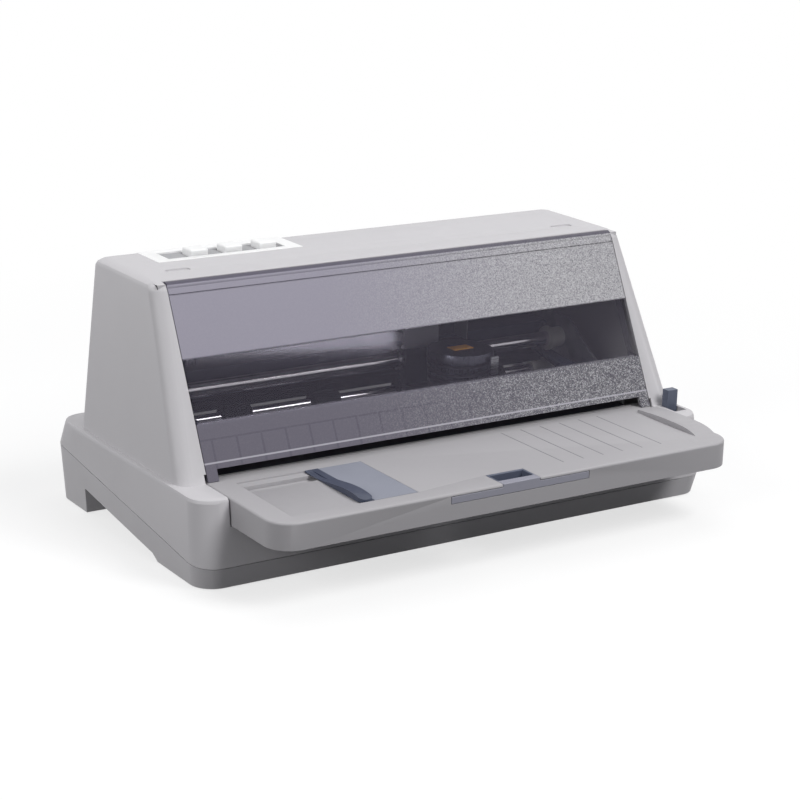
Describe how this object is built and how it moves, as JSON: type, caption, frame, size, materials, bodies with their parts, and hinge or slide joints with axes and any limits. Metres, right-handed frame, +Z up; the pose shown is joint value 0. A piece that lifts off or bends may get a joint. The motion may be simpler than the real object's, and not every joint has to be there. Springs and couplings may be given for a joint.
{
  "type": "dot matrix printer",
  "caption": "Flatbed dot matrix printer with a leaning smoked cover, a front paper tray with a sliding guide, a control panel and a full print mechanism inside.",
  "frame": {"origin": "centre of the overall footprint on the table, at the bottom of the feet", "axes": "+X across the machine to the right as seen from the front, +Y from the tray towards the back, +Z up"},
  "size_m": [0.384, 0.2576, 0.1696],
  "materials": {
    "case_grey": "fine matt texture",
    "tray_grey": "fine matt texture",
    "smoked_cover": "smoked clear band between frosted bands",
    "panel_white": "satin",
    "panel_grey": "matt",
    "guide_blue": "matt",
    "latch_blue": "matt",
    "lever_blue": "satin",
    "rubber_black": "matt",
    "galvanised_sheet": "zinc coated",
    "ground_steel": "ground and polished",
    "gear_white": "moulded acetal",
    "motor_black": "semi gloss",
    "carriage_black": "satin",
    "head_alloy": "black anodised casting",
    "amber_tape": "polyimide tape",
    "spring_steel": "bright",
    "board_green": "solder resist",
    "cable_grey": "flat film",
    "cartridge_blue": "fine texture",
    "ink_ribbon": "inked nylon",
    "socket_black": "satin",
    "socket_metal": "nickel plated"
  },
  "bodies": {
    "case": {"lower_case": "case_grey", "upper_case": "case_grey", "rubber_feet": "rubber_black", "screws": "spring_steel", "panel_frame": "panel_white", "panel_plate": "panel_grey", "panel_board": "board_green", "chassis_pan": "galvanised_sheet", "left_side_frame": "galvanised_sheet", "right_side_frame": "galvanised_sheet", "front_rail": "galvanised_sheet", "rear_beam": "galvanised_sheet", "front_guide_plate": "galvanised_sheet", "rear_guide_plate": "galvanised_sheet", "idler_stud": "ground_steel", "feed_motor": "motor_black", "pinch_arms": "gear_white", "shaft_bushes": "gear_white", "carriage_rod": "ground_steel", "rod_clips": "spring_steel", "timing_belt": "rubber_black", "idler_bracket": "galvanised_sheet", "carriage_motor": "motor_black", "ribbon_cartridge": "cartridge_blue", "ribbon": "ink_ribbon", "main_board": "board_green", "power_supply": "board_green", "parallel_port": "socket_metal", "usb_port": "socket_metal", "power_inlet": "socket_black", "power_switch": "socket_black"},
    "cover": {"dust_cover": "smoked_cover"},
    "tray": {"front_tray": "tray_grey"},
    "side_guide": {"edge_guide": "guide_blue"},
    "support": {"paper_support": "latch_blue"},
    "lever": {"release_lever": "lever_blue"},
    "eject_key": {"eject_button": "panel_white"},
    "feed_key": {"feed_button": "panel_white"},
    "pause_key": {"pause_button": "panel_white"},
    "platen": {"platen_shaft": "ground_steel", "platen_roller": "rubber_black", "platen_gear": "gear_white"},
    "feed": {"feed_shaft": "ground_steel", "feed_rollers": "rubber_black", "feed_gear": "gear_white"},
    "idler": {"idler_gear": "gear_white"},
    "pinion": {"feed_pinion": "spring_steel"},
    "pinch": {"pinch_shaft": "ground_steel", "pinch_rollers": "rubber_black"},
    "head_carriage": {"carriage": "carriage_black", "print_head": "head_alloy", "head_nose": "head_alloy", "head_tape": "amber_tape", "head_clip": "spring_steel", "head_board": "cable_grey", "head_cable": "cable_grey"},
    "belt_drive": {"drive_pulley": "gear_white"},
    "belt_idler": {"idler_pulley": "gear_white"},
    "take_up": {"ribbon_knob": "cartridge_blue"},
    "rocker": {"power_rocker": "socket_black"}
  },
  "joints": [
    {"name": "cover_hinge", "type": "hinge", "parent": "case", "child": "cover", "pos_m": [0, 0.01234, 0.1624], "axis": [-1, 0, 0], "range_deg": [0, 80]},
    {"name": "tray_pull", "type": "slide", "parent": "case", "child": "tray", "axis": [0, -1, 0], "range_m": [0, 0.04]},
    {"name": "guide_slide", "type": "slide", "parent": "tray", "child": "side_guide", "axis": [-1, 0, 0], "range_m": [0, 0.047]},
    {"name": "support_pull", "type": "slide", "parent": "tray", "child": "support", "axis": [0, -1, 0], "range_m": [0, 0.055]},
    {"name": "lever_hinge", "type": "hinge", "parent": "case", "child": "lever", "pos_m": [0.181, -0.04875, 0.0381], "axis": [1, 0, 0], "range_deg": [0, 22]},
    {"name": "eject_press", "type": "slide", "parent": "case", "child": "eject_key", "axis": [0, 0, -1], "range_m": [0, 0.0012], "stiffness_N_per_m": 1200},
    {"name": "feed_press", "type": "slide", "parent": "case", "child": "feed_key", "axis": [0, 0, -1], "range_m": [0, 0.0012], "stiffness_N_per_m": 1200},
    {"name": "pause_press", "type": "slide", "parent": "case", "child": "pause_key", "axis": [0, 0, -1], "range_m": [0, 0.0012], "stiffness_N_per_m": 1200},
    {"name": "platen_turn", "type": "hinge", "parent": "case", "child": "platen", "pos_m": [0, 0.011, 0.0426], "axis": [1, 0, 0], "continuous": true},
    {"name": "feed_turn", "type": "hinge", "parent": "case", "child": "feed", "pos_m": [0, 0.0494, 0.0461], "axis": [1, 0, 0], "continuous": true},
    {"name": "idler_turn", "type": "hinge", "parent": "case", "child": "idler", "pos_m": [-0.165, 0.03116, 0.0338], "axis": [1, 0, 0], "continuous": true},
    {"name": "pinion_turn", "type": "hinge", "parent": "case", "child": "pinion", "pos_m": [-0.165, 0.06738, 0.03733], "axis": [1, 0, 0], "continuous": true},
    {"name": "pinch_turn", "type": "hinge", "parent": "case", "child": "pinch", "pos_m": [0, 0.0494, 0.0624], "axis": [1, 0, 0], "continuous": true},
    {"name": "carriage_slide", "type": "slide", "parent": "case", "child": "head_carriage", "axis": [1, 0, 0], "range_m": [-0.1635, 0.0665], "deforming": ["head_cable"]},
    {"name": "belt_drive_turn", "type": "hinge", "parent": "case", "child": "belt_drive", "pos_m": [0.172, 0.072, 0.066], "axis": [0, 0, 1], "range_deg": [-1290, 530]},
    {"name": "belt_idler_turn", "type": "hinge", "parent": "case", "child": "belt_idler", "pos_m": [-0.144, 0.072, 0.066], "axis": [0, 0, 1], "range_deg": [-1290, 530]},
    {"name": "take_up_turn", "type": "hinge", "parent": "case", "child": "take_up", "pos_m": [-0.124, 0.0725, 0.097], "axis": [0, 0, 1], "continuous": true},
    {"name": "rocker_tilt", "type": "hinge", "parent": "case", "child": "rocker", "pos_m": [0.098, 0.12175, 0.0251], "axis": [-1, 0, 0], "range_deg": [0, 14]}
  ],
  "couplings": [
    {"joint": "feed_turn", "follows": "platen_turn", "ratio": 1},
    {"joint": "idler_turn", "follows": "platen_turn", "ratio": -1.75},
    {"joint": "pinion_turn", "follows": "platen_turn", "ratio": -2.3333},
    {"joint": "pinch_turn", "follows": "platen_turn", "ratio": -1.2857},
    {"joint": "belt_drive_turn", "follows": "carriage_slide", "rad_per_m": 136.99},
    {"joint": "belt_idler_turn", "follows": "carriage_slide", "rad_per_m": 136.99}
  ]
}
